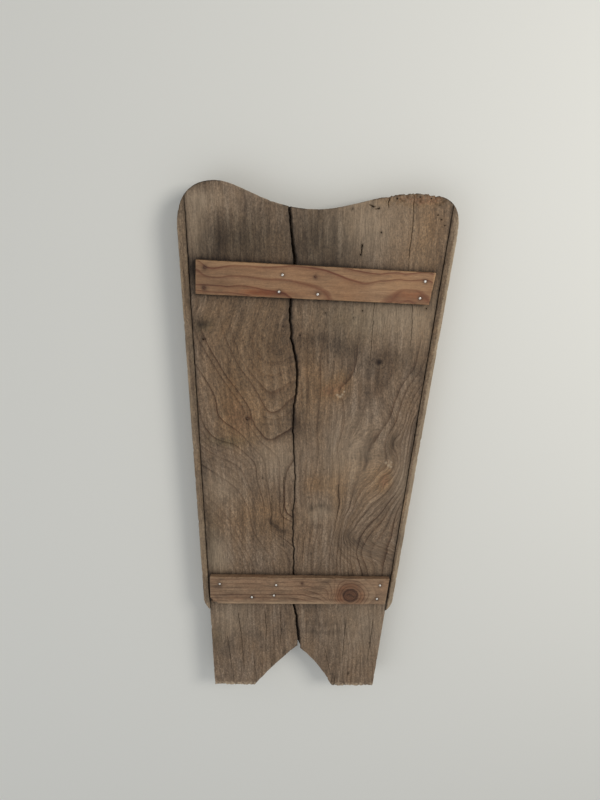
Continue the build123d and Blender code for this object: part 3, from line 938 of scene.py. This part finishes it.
def deck_tone(name, points, gap):
    """Stains, painted shade, warm patches, pale wear and green bloom on the deck."""
    px, py, pz = points.T
    x = px + 5 * rough(px / 26, py / 26, 81)
    y = py + 7 * rough(px / 26, py / 26, 84)
    on_top = step(deck_top - 3, deck_top - 0.8, pz)
    flank = (np.abs(px) > flank_x) & (py > runner_rear)
    split = np.abs(px + 2) < split_reach
    holes = LEFT_HOLES if name.startswith("left") else RIGHT_HOLES

    dark = hump(x, y, DARK) * (0.35 + 0.65 * on_top)
    # painted shade on the deck round the battens, darkest where they meet it
    for outline in batten_outlines.values():
        away = np.abs(nearest_on(resample(outline, 3), points[:, :2])[0])
        dark += (0.75 * np.exp(-away / 4.5) + 0.2 * np.exp(-away / 18)) * on_top
    # painted shade along the deck's edges beside the runners and down the banks of the split
    dark += np.where(flank, 0.9 * np.exp(-gap / 1.6) + 0.3 * np.exp(-gap / 8), 0)
    dark += np.where(split, 0.9 * np.exp(-gap / 0.9) + 0.18 * np.exp(-gap / 7), 0)
    # painted shade: the deck's side walls darken towards its underside
    dark += 0.25 * fall(deck_bottom + 1, deck_top - 4, pz)
    # painted shade inside the holes and cracks, the deeper the darker
    dark += 1.2 * step(0.25, 1.2, relief(points[:, :2], holes, crack_sets[name])) * on_top
    stained = [(hole_x, hole_y, 1.7 * radius, 2.4 * radius, 1) for hole_x, hole_y, radius, _ in holes]
    dark += 0.5 * hump(px, py, stained) * on_top

    rubbed = np.clip(0.4 + rough(px / 9, py / 9, 88), 0, 1)
    speck = np.clip(0.2 + 1.6 * noise(px / 2.2, py / 2.6, 89), 0, 1)
    rim = step(925, 945, py) * step(130, 160, px) * np.exp(-gap / 5)
    edges = np.where(~flank & ~split, 0.9 * np.exp(-gap / 1.3), 0.12 * np.exp(-gap / 1.2))
    pale = hump(x, y, PALE) * on_top + edges * rubbed
    pale += fall(3, 11, py) * (0.5 * rubbed + 1.3 * speck) + 0.9 * rim * speck * on_top
    pale += 1.3 * hump(px, py, [(*chip, 1) for chip in CHIPS]) * on_top
    warm, green = hump(x, y, WARM), hump(x, y, GREEN)
    return np.clip(dark, 0, 1.3), np.clip(warm, 0, 1), np.clip(pale, 0, 1), np.clip(green, 0, 1)


# Worm-eaten rim, the feet's ends and two flaked spots
CRUMBLING = (
    (132, 922, 246, 960), (-170, -2, 165, 15), (62, 608, 94, 636), (153, 476, 181, 504),
)
CRACKS = {"left_deck_board": (90, LEFT_CRACKS), "right_deck_board": (95, RIGHT_CRACKS)}
crack_sets = {
    name: [(w, d, crack_line(line, seed)) for seed, (w, d, line) in enumerate(cracks, first)]
    for name, (first, cracks) in CRACKS.items()
}


def make_deck_board(name, seed, holes, grain, bold_rings, fan, material):
    """Half of the deck. fan: how far its fibres turn with the rings, the rings' pitch and start."""
    outline = resample(cad_outline(name, deck_top), 2.5, CRUMBLING)
    spec = dict(
        outline=outline, seed=seed, grid=2.7, low_grid=5, levels=7, wall=0.5, arris=(1.1, 1.3),
        uneven=0.5, top=deck_top, under=lambda flat: deck_bottom, chip=deck_chip(name),
        dents=deck_dents, zones=CRUMBLING, holes=holes, cracks=crack_sets[name],
    )
    points, faces = plank(spec)
    gap = nearest_on(outline, points[:, :2])[0]
    x, y, z = points.T
    ring = grain(x, y) + (deck_top - z) / 11
    turn_at, pitch, start = fan
    turn = turn_at(points)
    across = x * (1 - turn) + (start + ring * pitch) * turn
    across = across + 1.6 * noise(x / 40, y / 90, seed)
    tone = deck_tone(name, points, gap)
    shape_split(points)
    bold = line_boldness(ring, line_fade(points), bold_rings)
    piece = plank_object(name + "_wood", points, faces)
    dress(piece, material, (across, y, z), ring, bold, tone, name)


def line_fade(points):
    """Where the ring lines show: patches, fewer of them in the front third of the deck."""
    x, y = points[:, 0], points[:, 1]
    patches = np.clip(0.95 + 0.5 * rough(x / 45, y / 60, 131), 0.45, 1.2)
    return patches * (1 - 0.72 * step(680, 770, y)) * (1 - 0.35 * fall(180, 260, y))


def line_boldness(ring, fade, bold_rings):
    """How much the ring lines stand out: those in bold_rings more than the rest."""
    peaks = [weight * np.exp(-(((ring - count + 0.06) / 0.5) ** 2)) for count, weight in bold_rings]
    return (0.44 + sum(peaks)) * fade


def left_fan(points):
    """How far the left board's fibres turn with its rings."""
    y = points[:, 1]
    return 0.15 * step(380, 480, y) * fall(700, 800, y)


def right_fan(points):
    """The same for the right board."""
    x, y = points[:, 0], points[:, 1]
    return 0.9 * step(50, 100, x) * step(280, 340, y) * fall(520, 640, y)


def sole_height(name):
    """Height of a runner's underside below points of its plan, from the CAD node."""
    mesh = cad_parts[name].data
    corners = [v.co for v in mesh.vertices]
    tree = BVHTree.FromPolygons(corners, [tuple(p.vertices) for p in mesh.polygons])
    tries = [(0, 0)] + [(dx, dy) for dx in (-0.3, 0.3) for dy in (-0.3, 0.3)]

    def under(flat):
        heights = np.empty(len(flat))
        for index, (x, y) in enumerate(flat):
            heights[index] = deck_bottom
            for dx, dy in tries:
                start = Vector(row_metres((x + dx, y + dy, -20)))
                hit = tree.ray_cast(start, Vector((0, 0, 1)))[0]
                if hit is not None and hit.z * MM < deck_top - 2:
                    heights[index] = hit.z * MM
                    break
        return heights

    return under


def make_runner(name, seed, material):
    """A runner: a plank on edge, whose grain follows its outer face."""
    side = -1 if name.startswith("left") else 1
    outline = resample(cad_outline(name, deck_top), 2.2)

    def chip(points, place, face):
        return 0.12 + 1.5 * np.clip(rough(place / 11, face * 2, seed + 1) - 0.2, 0, None)

    spec = dict(
        outline=outline, seed=seed, grid=2.4, low_grid=3, levels=18, wall=0.6, arris=(1.4, 1.6),
        uneven=0.35, top=deck_top, under=sole_height(name), chip=chip, dents=lambda x, y: 0,
    )
    points, faces = plank(spec)
    x, y, z = points.T
    gap = nearest_on(outline, points[:, :2])[0]
    run = np.ptp(outline[:, 0])
    edge = x - side * run * (y - runner_rear) / (board_length - runner_rear)
    ring = (0.8 * z + 0.7 * edge * side) / 6.5 + 1.6 * noise(y / 240, z / 60, seed + 2)
    fibre = (edge + 1.2 * noise(y / 90, z / 20, seed + 3), y, z)

    outer = (edge * side) > (edge * side).mean()
    # painted shade: the runner's inner half, under the deck, is darker all over, and darker still at its
    # joint with the deck
    joint = 0.75 * np.exp(-gap) * step(deck_top - 5, deck_top - 1, z)
    dark = np.where(outer, 0.15 * rough(y / 60, z / 20, seed + 4) + 0.1, joint + 0.25)
    dark += 0.35 * np.clip(rough(x / 20, y / 34, seed + 5), 0, 1) + 0.3 * fall(3, 22, z)
    rubbed = np.clip(0.5 + rough(y / 12, z / 8, seed + 6), 0, 1)
    # the outer top edges are paler: wear, and a painted highlight
    pale = np.where(outer, 0.75, 0.1) * np.exp(-gap / 1.6) * rubbed
    pale = pale * step(deck_top - 4, deck_top - 1.5, z)
    lit_and_worn_top = 0.5 if side > 0 else 0.15  # the right runner's top is paler: painted highlight from the light on the right, over wear on both
    pale += lit_and_worn_top * outer * step(deck_top - 6, deck_top - 1, z)
    warm = 0.45 * np.clip(rough(y / 70, z / 30, seed + 7) + 0.2, 0, 1)
    tone = (np.clip(dark, 0, 1.2), warm, np.clip(pale, 0, 1), 0.2 * np.ones_like(x))
    piece = plank_object(name + "_wood", points, faces)
    dress(piece, material, fibre, ring, np.full(len(x), 0.5), tone, name)


def make_batten(name, seed, grain, bright, rusty, material):
    """A batten, whose grain is given along it and up from its middle line."""
    outline = resample(batten_outlines[name], 1.8)
    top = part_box(name)[1].z * MM

    def chip(points, place, side):
        nick = np.clip(rough(place / 7, side * 2, seed + 1) - 0.3, 0, None)
        u, v = batten_local(outline, points)
        corner = fall(12, 14, u) * fall(-20, -16, v) * (name == "rear_batten")
        return 0.05 + 1.1 * nick + 5 * corner

    spec = dict(
        outline=outline, seed=seed, grid=1.7, low_grid=4, levels=6, wall=0.35, arris=(1, 0.5),
        uneven=0.25, top=top, under=lambda flat: deck_top, chip=chip,
        dents=nail_dents(bright + rusty), cracks=batten_cracks(name, outline),
    )
    points, faces = plank(spec)
    gap = nearest_on(outline, points[:, :2])[0]
    u, v = batten_local(outline, points[:, :2])
    ring = grain(u, v) + (top - points[:, 2]) / 9
    fibre = (v + 0.8 * noise(u / 60, v / 20, seed), u, points[:, 2])
    bold = batten_boldness(name, u, v)
    tone = batten_tone(name, seed, points, (u, v), gap, bright, rusty)
    piece = plank_object(name + "_wood", points, faces)
    dress(piece, material, fibre, ring, bold, tone, name)


def batten_boldness(name, u, v):
    """How much a batten's ring lines stand out: on the rear one, low down and round the knot."""
    if name == "front_batten":
        return np.ones(len(u))
    knot = np.hypot(u - KNOT[0], v - KNOT[1])
    low = fall(-6, 2, v)
    return 0.5 + 0.6 * low * fall(190, 230, u) + 0.5 * np.exp(-(((knot - 26) / 14) ** 2))


def batten_cracks(name, outline):
    """The rear batten's one crack, which runs down beside its knot."""
    if name == "front_batten":
        return []
    start, direction = batten_axes(outline)
    normal = np.array([-direction[1], direction[0]])
    course = ((176, 7), (186, 2), (200, -3), (214, -11), (226, -20))
    line = np.array([start + direction * u + normal * v for u, v in course])
    return [(0.9, 1.2, crack_line(line, 120))]


def knot_tone(u, v, dark, seed):
    """Dark and warm tones with the rear batten's knot in: its rim, rings and crack."""
    across, up = u - KNOT[0], v - KNOT[1]
    reach = np.hypot(across, up) + 0.7 * noise(u / 4, v / 4, seed + 11)
    inside = fall(13.2, 15.4, reach)
    warm = inside + 0.5 * np.exp(-(((reach - 21) / 9) ** 2))
    rim = 0.5 * np.exp(-(((reach - 14.2) / 1.5) ** 2))
    rings = 0.25 + 0.3 * np.sin(reach * 1.9 + np.arctan2(up, across))
    crack = 0.8 * np.exp(-np.abs(up - 3 * np.sin((u - 262) / 3.2)) / 0.9) * (reach < 9)
    return dark * (1 - inside) + rim + inside * (rings + crack), warm


def batten_tone(name, seed, points, local, gap, bright, rusty):
    """Rust, dirt, resin, wear and painted shade of a batten."""
    u, v = local
    x, y, z = points.T
    front = name == "front_batten"
    top = z.max()
    dark = hump(x, y, [(head[0], head[1], 3.2, 3.2, 0.8) for head, _ in rusty])
    # dark rings round the new nails: painted shade in their dimples, with some rust
    dark += hump(x, y, [(head[0], head[1], 2.9, 2.9, 0.9) for head, _ in bright])
    dark += np.clip(rough(x / 30, y / 12, seed + 8), 0, 1) * (0.25 if front else 0.5)
    # painted shade: a batten's sides darken down towards the deck
    dark += 0.35 * fall(deck_top + 0.5, top - 3, z)
    if front:
        warm = hump(u, v, ((112, -20.5, 28, 3.2, 1), (350, -13, 20, 6, 0.5), (390, 0, 8, 20, 0.2)))
        dark += 0.25 * fall(0, 120, u)
        pale = hump(u, v, ((60, 24, 60, 3, 0.4), (330, 3, 50, 8, 0.25)))
        pale += step(u.max() - 5, u.max() - 1, u) * 0.6
    else:
        dark, warm = knot_tone(u, v, dark, seed)
        dark += 0.5 * hump(u, v, ((14, 9, 8, 2.5, 1), (196, 2, 16, 6, 0.4)))
        pale = hump(u, v, ((120, -26, 110, 2.5, 0.7), (310, 10, 16, 12, 0.3)))
    rubbed = np.clip(0.35 + rough(x / 8, y / 8, seed + 9), 0, 1)
    pale = pale + 0.85 * np.exp(-gap / 0.9) * rubbed * step(top - 3, top - 1, z)
    return np.clip(dark, 0, 1.2), np.clip(warm, 0, 1), np.clip(pale, 0, 1), np.zeros_like(x)


deck_wood = wood_material("weathered_plank", DECK_LOOK)
runner_wood = wood_material("weathered_runner", RUNNER_LOOK)
front_batten_wood = wood_material("orange_pine", FRONT_BATTEN_LOOK)
rear_batten_wood = wood_material("dull_pine", REAR_BATTEN_LOOK)
left_grain = GrainField(LEFT_GRAIN, LEFT_KNOTS)
right_grain = GrainField(RIGHT_GRAIN, RIGHT_KNOTS)
front_grain = GrainField(FRONT_BATTEN_GRAIN)
rear_grain = GrainField(REAR_BATTEN_GRAIN)
left_turn, right_turn = (left_fan, 9, 0), (right_fan, 14, 105)
make_deck_board("left_deck_board", 11, LEFT_HOLES, left_grain, LEFT_BOLD, left_turn, deck_wood)
make_deck_board("right_deck_board", 31, RIGHT_HOLES, right_grain, RIGHT_BOLD, right_turn, deck_wood)
make_runner("left_runner", 51, runner_wood)
make_runner("right_runner", 61, runner_wood)
make_batten("front_batten", 101, front_grain, *batten_nails["front_batten"], front_batten_wood)
make_batten("rear_batten", 111, rear_grain, *batten_nails["rear_batten"], rear_batten_wood)


# ---- nails
def nail_profile(length):
    """Radius and distance below the head's top: a hammered dome, the shank and the point."""
    head = ((0, 0), (0.8, 0.02), (1.5, 0.08), (1.9, 0.22), (2.1, 0.46), (2.1, 0.78), (1.8, 0.98))
    shank = ((1.15, 1.06), (1.08, 1.6), (1.08, length - 4), (0.5, length - 1.6), (0, length))
    return head + shank


def make_nails(node, material, seed):
    """All nails of a CAD node as one piece: each is turned about its own line, a little askew."""
    random = np.random.default_rng(seed)
    around = 20  # sides of a nail
    turn = np.arange(around) * math.tau / around
    points, faces = [], []
    for head, tip in nail_heads(node):
        axis = tip - head
        length = np.linalg.norm(axis)
        axis /= length
        side = np.cross(axis, (0, 1, 0) if abs(axis[1]) < 0.9 else (1, 0, 0))
        side /= np.linalg.norm(side)
        outward = np.cos(turn)[:, None] * side + np.sin(turn)[:, None] * np.cross(axis, side)
        spin = random.uniform(0, math.tau)
        lobes = 1 - 0.035 * (0.5 + 0.5 * np.cos(3 * turn + spin)) - random.uniform(0, 0.02)
        base = len(points)
        rows = nail_profile(length)
        for radius, below in rows:
            tilt = 0.05 * radius * (1 + np.cos(turn + spin)) * (below < 1)
            ring = head + axis * (0.05 + below + tilt)[:, None]
            points.extend(ring + outward * (radius * lobes)[:, None])
        for row in range(len(rows) - 1):
            for k in range(around):
                a, b = base + row * around + k, base + row * around + (k + 1) % around
                faces.append((a, b, b + around, a + around))
    piece = plank_object(node + "_steel", np.array(points), faces)
    weld(piece)
    piece.data.materials.append(material)
    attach(piece, "root")
    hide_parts(node)


def weld(piece):
    """Joins the coincident points at the ends of a lathed shape."""
    mesh = bmesh.new()
    mesh.from_mesh(piece.data)
    bmesh.ops.remove_doubles(mesh, verts=mesh.verts, dist=1e-7)
    bmesh.ops.recalc_face_normals(mesh, faces=mesh.faces)
    mesh.to_mesh(piece.data)
    mesh.free()


bright_steel = bright_nail_material()
rusted_steel = rusty_nail_material()
BRIGHT_NODES = ("front_batten_new_nails", "rear_batten_new_nails")
RUSTY_NODES = (
    "front_batten_old_nails", "rear_batten_old_nail", "left_runner_nails", "right_runner_nails",
)
for nail_seed, nail_node in enumerate(BRIGHT_NODES, 201):
    make_nails(nail_node, bright_steel, nail_seed)
for nail_seed, nail_node in enumerate(RUSTY_NODES, 203):
    make_nails(nail_node, rusted_steel, nail_seed)


# ---- floor, light and camera
def make_floor():
    reach = 6  # metres each way from the middle
    mesh = bpy.data.meshes.new("floor")
    corners = [(x * reach, y * reach, 0) for x, y in ((-1, -1), (1, -1), (1, 1), (-1, 1))]
    mesh.from_pydata(corners, [], [(0, 1, 2, 3)])
    floor = bpy.data.objects.new("floor", mesh)
    bpy.context.scene.collection.objects.link(floor)
    n = Nodes("pale_floor")
    mesh.materials.append(n.finish(paint(222, 221, 214), 0.7, None, 0))


def make_light(name, place, power, size, colour):
    data = bpy.data.lights.new(name, "AREA")
    data.energy, data.size, data.color = power, size, colour
    light = bpy.data.objects.new(name, data)
    light.location = place
    light.rotation_euler = (-Vector(place)).to_track_quat("-Z", "Y").to_euler()
    bpy.context.scene.collection.objects.link(light)


def make_world(strength):
    world = bpy.data.worlds.new("soft_room")
    world.use_nodes = True
    background = world.node_tree.nodes["Background"]
    background.inputs["Color"].default_value = (0.95, 0.97, 1, 1)
    background.inputs["Strength"].default_value = strength
    bpy.context.scene.world = world


def make_camera():
    """A camera almost straight above the deck, tilted back a little towards the feet."""
    data = bpy.data.cameras.new("camera")
    data.sensor_width, data.lens = 36, 27.05
    camera = bpy.data.objects.new("camera", data)
    above_deck, ahead_of_feet, right_of_split = 1003.4, 921, 15.2
    camera.location = row_metres((right_of_split, ahead_of_feet, deck_top + above_deck))
    camera.rotation_euler = [math.radians(angle) for angle in (-17.135, 0.52, 0.198)]
    bpy.context.scene.collection.objects.link(camera)
    bpy.context.scene.camera = camera


make_floor()
make_world(0.5)
make_light("key", (1.5, 0.9, 1.7), 26, 0.9, (1, 0.97, 0.92))
make_light("fill", (-1.4, -0.6, 1.8), 6, 1.6, (0.92, 0.96, 1))
make_camera()
bpy.context.scene.view_settings.view_transform = "Standard"
